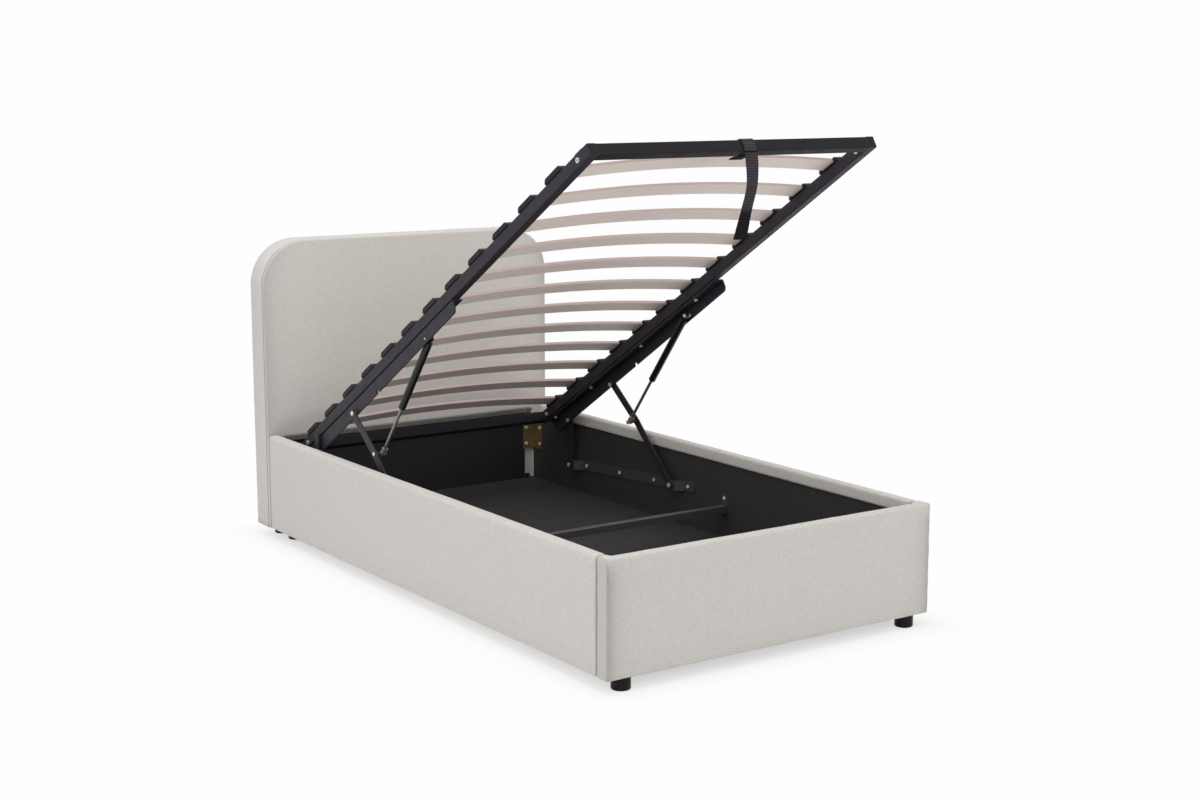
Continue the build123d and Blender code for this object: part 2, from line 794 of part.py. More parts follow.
with BuildPart() as frame_bolts:
    for side, word in sides:
        for setback in bracket_bolt_setbacks:
            bolt_place = (side * (deck_half_width - tube_width / 2), deck_length - setback)
            hex_bolt_down(*bolt_place, flange_bottom)
            with BuildSketch(deck_top(flange_top)) as spacer:
                with Locations(bolt_place):
                    Circle(bolt_head)
            extrude(spacer.sketch, amount=bracket_gap)
        for along in (corner_bolt_setback, deck_length - corner_bolt_setback):
            place = (along, -corner_bolt_depth)
            head_face = deck_half_width + bolt_head_height
            rod_along_x(deck_side, spread(side, deck_half_width, head_face), place, bolt_head)
            rod_along_x(deck_side, spread(side, tube_inner - bolt_head_height, tube_inner), place, bolt_nose)
            socket = spread(side, head_face - bolt_head_height / 2, head_face + overrun)
            rod_along_x(deck_side, socket, place, bolt_socket, Mode.SUBTRACT)
finish(frame_bolts, "frame_bolts")

# Slats bow up from their holders
slat_end = deck_half_width - slat_inset
slat_top = holder_floor + slat_thickness
slat_pitch = (deck_length - last_slat_setback - first_slat) / (slat_count - 1)
for number in range(slat_count):
    with BuildPart() as slat:
        with BuildSketch(deck_end(first_slat + number * slat_pitch + slat_width / 2)):
            with BuildLine():
                crown = (0, holder_floor + slat_rise)
                low_arc = ThreePointArc((-slat_end, holder_floor), crown, (slat_end, holder_floor))
                high_crown = (0, slat_top + slat_rise)
                high_arc = ThreePointArc((-slat_end, slat_top), high_crown, (slat_end, slat_top))
                Line(low_arc @ 0, high_arc @ 0)
                Line(low_arc @ 1, high_arc @ 1)
            make_face()
        extrude(amount=slat_width)
    finish(slat, f"slat_{number + 1:02d}")

for side, word in sides:
    with BuildPart() as slat_holders:
        for number in range(slat_count):
            along = first_slat + number * slat_pitch
            xs = spread(side, tube_inner - holder_overhang, deck_half_width + holder_overhang)
            with BuildSketch(deck_side(xs[0])) as profile:
                with Locations((along, holder_height / 2)):
                    Rectangle(holder_length, holder_height)
                chamfer(profile.vertices().group_by(Axis.Y)[-1], length=holder_chamfer)
            extrude(amount=xs[1] - xs[0])
            with BuildSketch(deck_end(along + slat_width / 2 + slat_play)):
                with Locations((side * (slat_end + slat_play - deck_half_width), holder_floor - slat_play)):
                    mouth = slat_top + slat_play
                    Rectangle(2 * deck_half_width, mouth, align=(Align.CENTER, Align.MIN))
            extrude(amount=slat_width + 2 * slat_play, mode=Mode.SUBTRACT)
    finish(slat_holders, f"slat_holders_{word}")

with BuildPart() as retainer_tabs:
    for side, word in sides:
        tab_place = (side * (deck_half_width - tube_width / 2), retainer_setback + retainer_length / 2)
        with BuildSketch(deck_top(0)):
            with Locations(tab_place):
                RectangleRounded(retainer_width, retainer_length, tube_round)
                Circle(bolt_radius, mode=Mode.SUBTRACT)
        extrude(amount=retainer_thickness)
finish(retainer_tabs, "retainer_tabs")

# Gas struts: cylinder pinned to the frame's bracket, rod in its bore, fork beside the front link's stud
strut_direction = atan2(strut_foot[1] - strut_top[1], strut_foot[0] - strut_top[0])


def strut_plane(side, along):
    """Plane square to the strut at a distance from its top pin, facing back up it."""
    return Plane(
        origin=(
            side * strut_axis,
            foot_face + strut_top[0] + along * cos(strut_direction),
            strut_top[1] + along * sin(strut_direction),
        ),
        x_dir=(1, 0, 0),
        z_dir=(0, -cos(strut_direction), -sin(strut_direction)),
    )


def strut_bar(side, start, end, radius, mode=Mode.ADD):
    """Round bar on the strut's axis between two distances from its top pin."""
    with BuildSketch(strut_plane(side, end)) as section:
        Circle(radius)
    extrude(section.sketch, amount=end - start, mode=mode)


eye = (strut_axis - strut_eye_width / 2, strut_axis + strut_eye_width / 2)
for side, word in sides:
    with BuildPart() as strut_cylinder:
        strut_bar(side, cylinder_neck, cylinder_reach, cylinder_radius)
        strut_bar(side, 0, cylinder_neck, cylinder_neck_radius)
        rod_along_x(upright, spread(side, *eye), strut_top, strut_eye_radius)
        strut_bar(side, bore_end, cylinder_reach + overrun, rod_radius + rod_fit, Mode.SUBTRACT)
        pin_bore = spread(side, strut_axis - strut_eye_radius, strut_axis + strut_eye_radius)
        rod_along_x(upright, pin_bore, strut_top, strut_pin + pivot_fit, Mode.SUBTRACT)
    finish(strut_cylinder, f"strut_cylinder_{word}")

    with BuildPart() as strut_rod:
        strut_bar(side, cylinder_reach - rod_overlap, strut_length - fork_length, rod_radius)
    finish(strut_rod, f"strut_rod_{word}")

    with BuildPart() as strut_fork:
        with BuildSketch(strut_plane(side, strut_length + nut_radius)) as cheeks:
            Rectangle(fork_width, 2 * nut_radius)
        extrude(cheeks.sketch, amount=fork_length + nut_radius)
        with BuildSketch(strut_plane(side, strut_length + nut_radius + overrun)) as slot:
            Rectangle(fork_slot, 2 * nut_radius + overrun)
        extrude(slot.sketch, amount=fork_length - nut_radius + overrun, mode=Mode.SUBTRACT)
        rod_along_x(upright, spread(side, fork_inner, fork_outer), strut_foot, strut_pin)
        for start in (fork_inner - nut_height, fork_outer):
            with BuildSketch(upright(spread(side, start, start + nut_height)[0])) as nut:
                with Locations(strut_foot):
                    RegularPolygon(nut_radius, side_count=6)
            extrude(nut.sketch, amount=nut_height)
    finish(strut_fork, f"strut_fork_{word}")

with BuildPart() as strut_top_pins:
    for side, word in sides:
        head_end = eye[0] - head_gap
        rod_along_x(upright, spread(side, head_end - nut_height, leg_outer), strut_top, strut_pin)
        rod_along_x(upright, spread(side, head_end - nut_height, head_end), strut_top, nut_radius)
        rod_along_x(upright, spread(side, eye[1] + head_gap, leg_inner), strut_top, nut_radius)
finish(strut_top_pins, "strut_top_pins")

# Pull strap: a loop round the foot tube and a tail that hangs from its lower corner
with BuildPart() as strap_loop:
    loop_xs = (strap_centre - strap_width / 2, strap_centre + strap_width / 2)
    with BuildSketch(deck_side(loop_xs[0])):
        with Locations((tube_width / 2, -tube_height / 2)):
            RectangleRounded(tube_width + 2 * strap_thickness, tube_height + 2 * strap_thickness,
                             tube_round + strap_thickness)
            RectangleRounded(tube_width, tube_height, tube_round, mode=Mode.SUBTRACT)
    extrude(amount=strap_width)
finish(strap_loop, "strap_loop")

strap_hinge = deck_point(tube_round, -tube_height - strap_thickness - strap_gap - strap_thickness / 2)
tail_xs = (strap_centre - strap_lean - strap_width / 2, strap_centre - strap_lean + strap_width / 2)
sway = strap_sway_share * strap_length
with BuildPart() as pull_strap:
    with BuildSketch(upright(tail_xs[0])):
        with BuildLine():
            centre = [
                (strap_hinge[0] + bend * sway, strap_hinge[1] - share * strap_length)
                for share, bend in strap_bend_shares
            ]
            front_curve = Spline(*[(y - strap_thickness / 2, z) for y, z in centre])
            back_curve = Spline(*[(y + strap_thickness / 2, z) for y, z in centre])
            Line(front_curve @ 1, back_curve @ 1)
            strap_crown = (strap_hinge[0], strap_hinge[1] + strap_thickness / 2)
            ThreePointArc(front_curve @ 0, strap_crown, back_curve @ 0)
        make_face()
    extrude(amount=strap_width)
finish(pull_strap, "pull_strap")
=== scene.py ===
import json
import math

import bmesh
import bpy
from mathutils import Matrix, Vector, noise


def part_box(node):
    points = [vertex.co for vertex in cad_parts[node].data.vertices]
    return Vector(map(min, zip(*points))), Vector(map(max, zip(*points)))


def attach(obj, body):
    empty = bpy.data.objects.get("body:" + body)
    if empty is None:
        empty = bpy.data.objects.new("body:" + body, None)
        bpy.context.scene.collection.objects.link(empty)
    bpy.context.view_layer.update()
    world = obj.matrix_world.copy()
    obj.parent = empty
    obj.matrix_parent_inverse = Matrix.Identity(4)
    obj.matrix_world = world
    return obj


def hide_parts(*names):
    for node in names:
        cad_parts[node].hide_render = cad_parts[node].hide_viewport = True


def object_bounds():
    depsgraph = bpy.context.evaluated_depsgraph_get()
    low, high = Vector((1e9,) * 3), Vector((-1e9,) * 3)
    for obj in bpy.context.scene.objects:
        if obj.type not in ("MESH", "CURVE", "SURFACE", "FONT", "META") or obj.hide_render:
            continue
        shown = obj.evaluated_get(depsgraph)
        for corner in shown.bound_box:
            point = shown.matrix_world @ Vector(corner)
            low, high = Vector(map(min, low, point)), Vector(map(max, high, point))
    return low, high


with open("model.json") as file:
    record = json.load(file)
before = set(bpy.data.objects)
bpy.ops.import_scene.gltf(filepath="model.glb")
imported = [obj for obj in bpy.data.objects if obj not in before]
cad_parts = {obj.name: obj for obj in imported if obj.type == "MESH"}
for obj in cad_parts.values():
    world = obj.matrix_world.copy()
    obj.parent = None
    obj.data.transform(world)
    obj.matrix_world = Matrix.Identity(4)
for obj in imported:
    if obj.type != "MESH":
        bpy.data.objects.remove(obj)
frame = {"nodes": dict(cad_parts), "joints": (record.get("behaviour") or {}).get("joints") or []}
cad_low, cad_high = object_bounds()
nodes = frame["nodes"]


# Camera and studio
# The camera stands at eye height before the bed's left foot corner, with a lens a little longer
# than normal. Floor and backdrop are one white sweep, lit by four soft boxes and an even white sky.
# The sweep keeps the bed's shadow close by and goes over into plain white farther off.
camera_data = bpy.data.cameras.new("camera")
camera_data.lens = 56.408
camera_data.sensor_width = 36
camera_data.clip_end = 100
camera = bpy.data.objects.new("camera", camera_data)
bpy.context.scene.collection.objects.link(camera)
camera.location = (-3.0566, -4.6513, 1.4981)
camera.rotation_euler = (math.pi / 2 - 0.17091, 0, -0.60229)
bpy.context.scene.camera = camera
bpy.context.scene.view_settings.view_transform = "Standard"


def linear(code):
    """Linear RGBA of an sRGB hex colour."""
    parts = [int(code[place : place + 2], 16) / 255 for place in (1, 3, 5)]
    return [part / 12.92 if part <= 0.04045 else ((part + 0.055) / 1.055) ** 2.4 for part in parts] + [1]


def add(tree, kind, sockets=None, links=None, **settings):
    """Adds a node with its settings, its socket values and the outputs that feed it."""
    node = tree.nodes.new(kind)
    for name, value in settings.items():
        setattr(node, name, value)
    for name, value in (sockets or {}).items():
        node.inputs[name].default_value = value
    for name, source in (links or {}).items():
        tree.links.new(source, node.inputs[name])
    return node


def new_finish(name, colour, roughness, metallic=0.0):
    """A material with its tree and its surface shader."""
    material = bpy.data.materials.new(name)
    material.use_nodes = True
    surface = material.node_tree.nodes["Principled BSDF"]
    surface.inputs["Base Color"].default_value = linear(colour)
    surface.inputs["Roughness"].default_value = roughness
    surface.inputs["Metallic"].default_value = metallic
    return material, material.node_tree, surface


def piece_from(bm, name, body, material, smooth=True):
    """Turns a bmesh into a piece that rides on a body."""
    bmesh.ops.recalc_face_normals(bm, faces=bm.faces)
    mesh = bpy.data.meshes.new(name)
    bm.to_mesh(mesh)
    bm.free()
    piece = bpy.data.objects.new(name, mesh)
    bpy.context.scene.collection.objects.link(piece)
    for face in mesh.polygons:
        face.use_smooth = smooth
    mesh.materials.append(material)
    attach(piece, body)
    return piece


shade_start = -0.12
shade_reach = 0.16
shade_white = 0.56
sweep_reach = 14
sweep, sweep_tree, sweep_surface = new_finish("painted_sweep_white", "#F4F4F4", 0.9)
sweep_surface.inputs["Specular IOR Level"].default_value = 0.1
spot = add(sweep_tree, "ShaderNodeTexCoord")
spot_parts = add(sweep_tree, "ShaderNodeSeparateXYZ", links={0: spot.outputs["Object"]})
spot_x = add(sweep_tree, "ShaderNodeMath", links={0: spot_parts.outputs["X"]}, operation="ABSOLUTE")
spot_y = add(sweep_tree, "ShaderNodeMath", links={0: spot_parts.outputs["Y"]}, operation="ABSOLUTE")
off_x = add(
    sweep_tree,
    "ShaderNodeMath",
    sockets={1: cad_high.x},
    links={0: spot_x.outputs["Value"]},
    operation="SUBTRACT",
)
off_y = add(
    sweep_tree,
    "ShaderNodeMath",
    sockets={1: cad_high.y},
    links={0: spot_y.outputs["Value"]},
    operation="SUBTRACT",
)
off_bed = add(
    sweep_tree,
    "ShaderNodeMath",
    links={0: off_x.outputs["Value"], 1: off_y.outputs["Value"]},
    operation="MAXIMUM",
)
fade = add(
    sweep_tree,
    "ShaderNodeMapRange",
    sockets={"From Min": shade_start, "From Max": shade_reach, "To Min": shade_white, "To Max": 1.0},
    links={"Value": off_bed.outputs["Value"]},
    interpolation_type="SMOOTHSTEP",
)
rays = add(sweep_tree, "ShaderNodeLightPath")
white = add(sweep_tree, "ShaderNodeEmission", sockets={"Color": linear("#FEFEFE"), "Strength": 1.0})
bounced = add(
    sweep_tree,
    "ShaderNodeMath",
    links={0: rays.outputs["Is Glossy Ray"], 1: rays.outputs["Is Transmission Ray"]},
    operation="MAXIMUM",
)
seen = add(
    sweep_tree,
    "ShaderNodeMath",
    links={0: rays.outputs["Is Camera Ray"], 1: bounced.outputs["Value"]},
    operation="MAXIMUM",
)
whitened = add(
    sweep_tree,
    "ShaderNodeMath",
    links={0: seen.outputs["Value"], 1: fade.outputs["Result"]},
    operation="MULTIPLY",
)
sweep_mix = add(
    sweep_tree,
    "ShaderNodeMixShader",
    links={0: whitened.outputs["Value"], 1: sweep_surface.outputs["BSDF"], 2: white.outputs["Emission"]},
)
sweep_tree.links.new(sweep_mix.outputs["Shader"], sweep_tree.nodes["Material Output"].inputs["Surface"])

bm = bmesh.new()
bmesh.ops.create_grid(bm, x_segments=1, y_segments=1, size=sweep_reach)
floor_mesh = bpy.data.meshes.new("studio_floor")
bm.to_mesh(floor_mesh)
bm.free()
studio_floor = bpy.data.objects.new("studio_floor", floor_mesh)
bpy.context.scene.collection.objects.link(studio_floor)
floor_mesh.materials.append(sweep)

world = bpy.data.worlds.new("studio_air")
bpy.context.scene.world = world
world.use_nodes = True
sky = world.node_tree
air = sky.nodes["Background"]
air.inputs["Color"].default_value = linear("#FFFFFF")
air.inputs["Strength"].default_value = 0.6
world_rays = add(sky, "ShaderNodeLightPath")
plain_air = add(sky, "ShaderNodeBackground", sockets={"Color": linear("#FEFEFE"), "Strength": 1.0})
bounced_air = add(
    sky,
    "ShaderNodeMath",
    links={0: world_rays.outputs["Is Glossy Ray"], 1: world_rays.outputs["Is Transmission Ray"]},
    operation="MAXIMUM",
)
seen_air = add(
    sky,
    "ShaderNodeMath",
    links={0: world_rays.outputs["Is Camera Ray"], 1: bounced_air.outputs["Value"]},
    operation="MAXIMUM",
)
air_mix = add(
    sky,
    "ShaderNodeMixShader",
    links={0: seen_air.outputs["Value"], 1: air.outputs["Background"], 2: plain_air.outputs["Background"]},
)
sky.links.new(air_mix.outputs["Shader"], sky.nodes["World Output"].inputs["Surface"])


def soft_box(name, place, aim, width, power):
    """A square studio lamp that faces a point."""
    data = bpy.data.lights.new(name, "AREA")
    data.size = width
    data.energy = power
    lamp = bpy.data.objects.new(name, data)
    bpy.context.scene.collection.objects.link(lamp)
    lamp.location = place
    lamp.rotation_euler = (Vector(aim) - Vector(place)).to_track_quat("-Z", "Y").to_euler()


soft_box("box_above", place=(-0.6, -0.4, 3.6), aim=(0, 0, 0.3), width=3.2, power=67)
soft_box("box_left", place=(-4.4, -0.9, 2.2), aim=(0, 0, 0.5), width=2.4, power=32)
soft_box("box_right", place=(1.7, -3.3, 1.0), aim=(0.4, -1.0, 0.2), width=1.3, power=8)
soft_box("box_front", place=(0.8, -6.0, 1.4), aim=(0, 0.4, 0.5), width=2.0, power=24)


# Upholstery fabric
# A fine plain weave in a warm light grey with a brushed face, which gives a soft matt surface
# with faint clouds. Its threads are under a millimetre apart, too fine to show, so they are drawn
# 2.8 mm apart, as short soft strokes that cross. In seams and creases and beside the edges the
# colour is darkened, as painted shade. The functions below cut, round and stretch the fabric
# of every cover.
thread_gap = 0.0028
stroke_length = 0.014
cloud_size = 0.03
fabric, fabric_tree, fabric_surface = new_finish("brushed_weave_greige", "#CBC7C2", 0.92)
fabric_surface.inputs["Sheen Weight"].default_value = 0.15
fabric_surface.inputs["Sheen Roughness"].default_value = 0.45
fabric_surface.inputs["Specular IOR Level"].default_value = 0.2
laid = add(fabric_tree, "ShaderNodeUVMap", uv_map="weave")
strokes = []
for turned in ((1 / stroke_length, 1 / thread_gap, 1), (1 / thread_gap, 1 / stroke_length, 1)):
    drawn = add(
        fabric_tree, "ShaderNodeMapping", sockets={"Scale": turned}, links={"Vector": laid.outputs["UV"]}
    )
    strokes.append(
        add(
            fabric_tree,
            "ShaderNodeTexNoise",
            sockets={"Scale": 1.0, "Detail": 3.0, "Roughness": 0.65},
            links={"Vector": drawn.outputs["Vector"]},
        )
    )
crossed = add(
    fabric_tree,
    "ShaderNodeMath",
    links={0: strokes[0].outputs["Fac"], 1: strokes[1].outputs["Fac"]},
    operation="ADD",
)
grain = add(
    fabric_tree,
    "ShaderNodeMapRange",
    sockets={"From Min": 0.72, "From Max": 1.28},
    links={"Value": crossed.outputs["Value"]},
)
clouds = add(
    fabric_tree,
    "ShaderNodeTexNoise",
    sockets={"Scale": 1 / cloud_size, "Detail": 5.0, "Roughness": 0.7},
    links={"Vector": laid.outputs["UV"]},
)
thread = add(
    fabric_tree,
    "ShaderNodeMixRGB",
    sockets={1: linear("#C5C0BB"), 2: linear("#D6D2CD")},
    links={0: grain.outputs["Result"]},
)
cloud_tone = add(
    fabric_tree,
    "ShaderNodeMapRange",
    sockets={"From Min": 0.3, "From Max": 0.7, "To Min": 0.975, "To Max": 1.02},
    links={"Value": clouds.outputs["Fac"]},
)
# The seam and edge layers darken the weave: painted shade in seams, creases and beside edges.
seam_shade_mark = add(fabric_tree, "ShaderNodeAttribute", attribute_name="seam")
seam_shade_tone = add(
    fabric_tree,
    "ShaderNodeMapRange",
    sockets={"To Min": 1.0, "To Max": 0.25},
    links={"Value": seam_shade_mark.outputs["Fac"]},
)
edge_shade_mark = add(fabric_tree, "ShaderNodeAttribute", attribute_name="nap")
edge_shade_tone = add(
    fabric_tree,
    "ShaderNodeMapRange",
    sockets={"To Min": 1.0, "To Max": 0.7},
    links={"Value": edge_shade_mark.outputs["Fac"]},
)
seam_and_edge_shade = add(
    fabric_tree,
    "ShaderNodeMath",
    links={0: edge_shade_tone.outputs["Result"], 1: seam_shade_tone.outputs["Result"]},
    operation="MULTIPLY",
)
cloud_and_seam_shade = add(
    fabric_tree,
    "ShaderNodeMath",
    links={0: cloud_tone.outputs["Result"], 1: seam_and_edge_shade.outputs["Value"]},
    operation="MULTIPLY",
)
toned = add(
    fabric_tree,
    "ShaderNodeVectorMath",
    links={0: thread.outputs["Color"], 1: cloud_and_seam_shade.outputs["Value"]},
    operation="MULTIPLY",
)
fabric_tree.links.new(toned.outputs["Vector"], fabric_surface.inputs["Base Color"])
nap_relief = add(
    fabric_tree,
    "ShaderNodeBump",
    sockets={"Strength": 0.5, "Distance": 0.0008},
    links={"Height": grain.outputs["Result"]},
)
fabric_tree.links.new(nap_relief.outputs["Normal"], fabric_surface.inputs["Normal"])


def block(low, high):
    """A box between two corners."""
    bm = bmesh.new()
    bmesh.ops.create_cube(bm, size=1)
    bmesh.ops.scale(bm, verts=bm.verts, vec=high - low)
    bmesh.ops.translate(bm, verts=bm.verts, vec=(low + high) / 2)
    return bm


def draw_out(bm, faces, way):
    """Draws faces out along a vector, with new sides behind them."""
    drawn = bmesh.ops.extrude_face_region(bm, geom=faces)["geom"]
    bmesh.ops.translate(bm, verts=[item for item in drawn if isinstance(item, bmesh.types.BMVert)], vec=way)


def lay_weave(bm):
    """Lays the fabric's own coordinates, in metres, flat on each face by the way it looks."""
    layer = bm.loops.layers.uv.new("weave")
    for face in bm.faces:
        across, along, up = (abs(part) for part in face.normal)
        for loop in face.loops:
            x, y, z = loop.vert.co
            if across >= along and across >= up:
                loop[layer].uv = (y, z)
            elif along >= up:
                loop[layer].uv = (x, z)
            else:
                loop[layer].uv = (x, y)


def cut(bm, axis, place):
    """Cuts the mesh by one plane across an axis."""
    normal = [0, 0, 0]
    normal[axis] = 1
    point = [0, 0, 0]
    point[axis] = place
    bmesh.ops.bisect_plane(
        bm, geom=bm.verts[:] + bm.edges[:] + bm.faces[:], plane_co=point, plane_no=normal, dist=1e-6
    )


def cut_grid(bm, axis, start, end, step):
    """Cuts the mesh by even planes across one axis, so that it can take soft waves."""
    count = max(1, round((end - start) / step))
    for number in range(1, count):
        cut(bm, axis, start + (end - start) * number / count)


def round_edges(bm, wanted, radius, segments):
    """Rounds the edges whose middle and direction the test accepts."""
    picked = [edge for edge in bm.edges if wanted((edge.verts[0].co + edge.verts[1].co) / 2, edge)]
    bmesh.ops.bevel(
        bm,
        geom=picked,
        offset=radius,
        segments=segments,
        profile=0.5,
        affect="EDGES",
        material=-1,
        clamp_overlap=True,
    )


def runs(edge, axis):
    """True if an edge runs along one axis."""
    way = edge.verts[1].co - edge.verts[0].co
    return abs(way[axis]) > 0.98 * way.length


def waves(bm, size, height):
    """Soft uneven waves of stretched cloth over foam."""
    bm.normal_update()
    for vert in bm.verts:
        lift = noise.noise(vert.co / size) + 0.5 * noise.noise(vert.co * 2.3 / size)
        vert.co += vert.normal * lift * height


def turn_in(bm, axis, end, inward, radius, mark=None):
    """Rounds a cover's end towards a seam: its outer skin turns in over the last few millimetres, and when
    a layer is given, shade is painted on the turned part.
    """
    round_angles = (12, 30, 48, 66, 90)
    for angle in round_angles:
        cut(bm, axis, end + inward * radius * (1 - math.cos(math.radians(angle))))
    bm.normal_update()
    moves = []
    for vert in bm.verts:
        gap = (vert.co[axis] - end) * inward
        if gap > radius:
            continue
        way = vert.normal.copy()
        way[axis] = 0
        outward = way.x * vert.co.x > 1e-4 or way.z > 1e-4 or (axis != 1 and way.y * vert.co.y > 1e-4)
        if way.length > 0.1 and outward:
            rest = max(0.0, 1 - max(gap, 0) / radius)
            moves.append((vert, way.normalized() * radius * (1 - math.sqrt(1 - rest * rest)), rest))
    for vert, move, rest in moves:
        vert.co -= move
        if mark is not None:
            vert[mark] = max(vert[mark], 0.6 * rest**3)


def seam_shade_layer(bm):
    """The layer that says where a seam or crease lies, which the fabric reads as painted shade."""
    return bm.verts.layers.float.get("seam") or bm.verts.layers.float.new("seam")


def edge_shade_layer(bm):
    """The layer of painted shade beside seams and corners, which the fabric reads."""
    return bm.verts.layers.float.get("nap") or bm.verts.layers.float.new("nap")


def puckers(bm, corner_x, corner_y, reach, depth):
    """Small pulls of the cloth beside an upright corner, across its direction."""
    bm.normal_update()
    for vert in bm.verts:
        away = max(abs(abs(vert.co.x) - abs(corner_x)), abs(vert.co.y - corner_y))
        if away < 3 * reach:
            pull = noise.noise(Vector((vert.co.x * 9, vert.co.y * 9, vert.co.z * 42)))
            vert.co += vert.normal * depth * pull * math.exp(-away / reach)


# Footboard cover
# Fabric over thin foam on the foot board. It turns in over the top edge and returns round both
# corners to a sewn seam on the sides, with small pulls in the cloth beside the corners.
foot_low, foot_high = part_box("footboard_upholstery")
board_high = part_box("footboard_panel")[1]
flap_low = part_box("well_lining")[1].z
rail_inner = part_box("rail_upholstery_right")[0].x
near = 0.001
flap_width = 0.033
flap_back = foot_low.y + flap_width
seam_gap = 0.0008
return_end = foot_high.y - seam_gap
corner_round = 0.008
lip = 0.008
hem_round = 0.005
foot_grid = 0.014
foot_crown = 0.003
fold_depth = 0.0016
fold_start = foot_high.z - 0.012
hem_sway = 0.0012
bm = block(foot_low, Vector((foot_high.x, return_end, foot_high.z)))
round_edges(
    bm,
    lambda middle, edge: (runs(edge, 2) and middle.y < foot_low.y + near)
    or (runs(edge, 0) and middle.z > foot_high.z - near and middle.y < foot_low.y + near)
    or (runs(edge, 1) and middle.z > foot_high.z - near),
    corner_round,
    segments=6,
)
for place in (-board_high.x, -rail_inner, rail_inner, board_high.x):
    cut(bm, 0, place)
cut(bm, 2, flap_low)


def push_in(bm, plane_y, wanted, new_y):
    """Pushes the wanted faces of a plane across Y to a new place, and takes the old ones away."""
    picked = [
        face
        for face in bm.faces
        if abs(face.calc_center_median().y - plane_y) < 1e-4
        and abs(face.normal.y) > 0.9
        and wanted(face.calc_center_median())
    ]
    draw_out(bm, picked, (0, new_y - plane_y, 0))
    bmesh.ops.delete(bm, geom=picked, context="FACES")


push_in(
    bm,
    return_end,
    lambda middle: abs(middle.x) < rail_inner or (abs(middle.x) < board_high.x and middle.z < flap_low),
    flap_back,
)
push_in(bm, flap_back, lambda middle: middle.z < flap_low, board_high.y)
cut(bm, 1, board_high.y)
under = [
    face
    for face in bm.faces
    if max(vert.co.z for vert in face.verts) < foot_low.z + 1e-5
    and face.calc_center_median().y > board_high.y
    and abs(face.calc_center_median().x) < board_high.x
]
bmesh.ops.delete(bm, geom=under, context="FACES")
bmesh.ops.recalc_face_normals(bm, faces=bm.faces)
for angle in (15, 35, 60, 90):
    step = lip * (1 - math.cos(math.radians(angle)))
    cut(bm, 1, flap_back - step)
    cut(bm, 0, rail_inner + step)
    cut(bm, 0, -rail_inner - step)
for vert in bm.verts:
    if vert.co.z > foot_high.z - 1e-5:
        inside_x = abs(vert.co.x) - rail_inner
        inside_y = flap_back - vert.co.y
        if inside_x <= 0:
            away = inside_y
        elif inside_y <= 0:
            away = inside_x
        else:
            away = math.hypot(inside_x, inside_y)
        if away < lip:
            vert.co.z -= lip - math.sqrt(lip**2 - (lip - max(away, 0)) ** 2)
mark = seam_shade_layer(bm)
turn_in(bm, 1, return_end, -1, corner_round, mark)
turn_in(bm, 2, foot_low.z, 1, hem_round)
cut_grid(bm, 0, foot_low.x, foot_high.x, foot_grid)
cut_grid(bm, 2, foot_low.z + hem_round, foot_high.z - corner_round, foot_grid)
# Painted shade: a dark line down each corner fold, stronger near the top, a darker band on the front beside
# each corner that fades out towards the top, and darker side returns.
nap = edge_shade_layer(bm)
for vert in bm.verts:
    in_x = foot_high.x - abs(vert.co.x)
    in_y = vert.co.y - foot_low.y
    if in_x < corner_round and in_y < corner_round:
        pinch = 1 - min(1, abs(in_x - in_y) / corner_round)
        low_enough = min(1, max(0, (fold_start - vert.co.z) / 0.02))
        near_top = math.exp(-max(fold_start - vert.co.z, 0) / 0.035)
        fold = fold_depth * pinch * low_enough * (0.2 + 0.8 * near_top)
        vert.co.x -= math.copysign(fold, vert.co.x)
        vert.co.y += fold
        vert[mark] = max(vert[mark], (0.05 + 0.5 * near_top) * pinch**2 * low_enough)
    if in_y < 0.004:
        off_corner = max(in_x - 0.004, 0)
        shaded = min(1, 0.35 * math.exp(-off_corner / 0.045) + 0.8 * math.exp(-off_corner / 0.016))
        vert[nap] = shaded * min(1, max(0, (foot_high.z - vert.co.z) / 0.05))
    elif in_x < 0.004 and in_y < 0.05:
        vert[nap] = 0.42
waves(bm, size=0.16, height=0.0007)
waves(bm, size=0.045, height=0.0003)
puckers(bm, foot_high.x, foot_low.y, reach=0.022, depth=0.0016)
for vert in bm.verts:
    if vert.co.y < foot_low.y + 0.004:
        across = 1 - (abs(vert.co.x) / foot_high.x) ** 8
        up = 1 - abs((vert.co.z - foot_low.z) / (foot_high.z - foot_low.z) * 2 - 1) ** 4
        vert.co.y -= foot_crown * max(across, 0) * max(up, 0)
    if vert.co.z < foot_low.z + near:
        vert.co.z += hem_sway * noise.noise(vert.co / 0.05)
lay_weave(bm)
footboard_cover = piece_from(bm, "footboard_cover", "base", fabric)
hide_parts("footboard_upholstery")


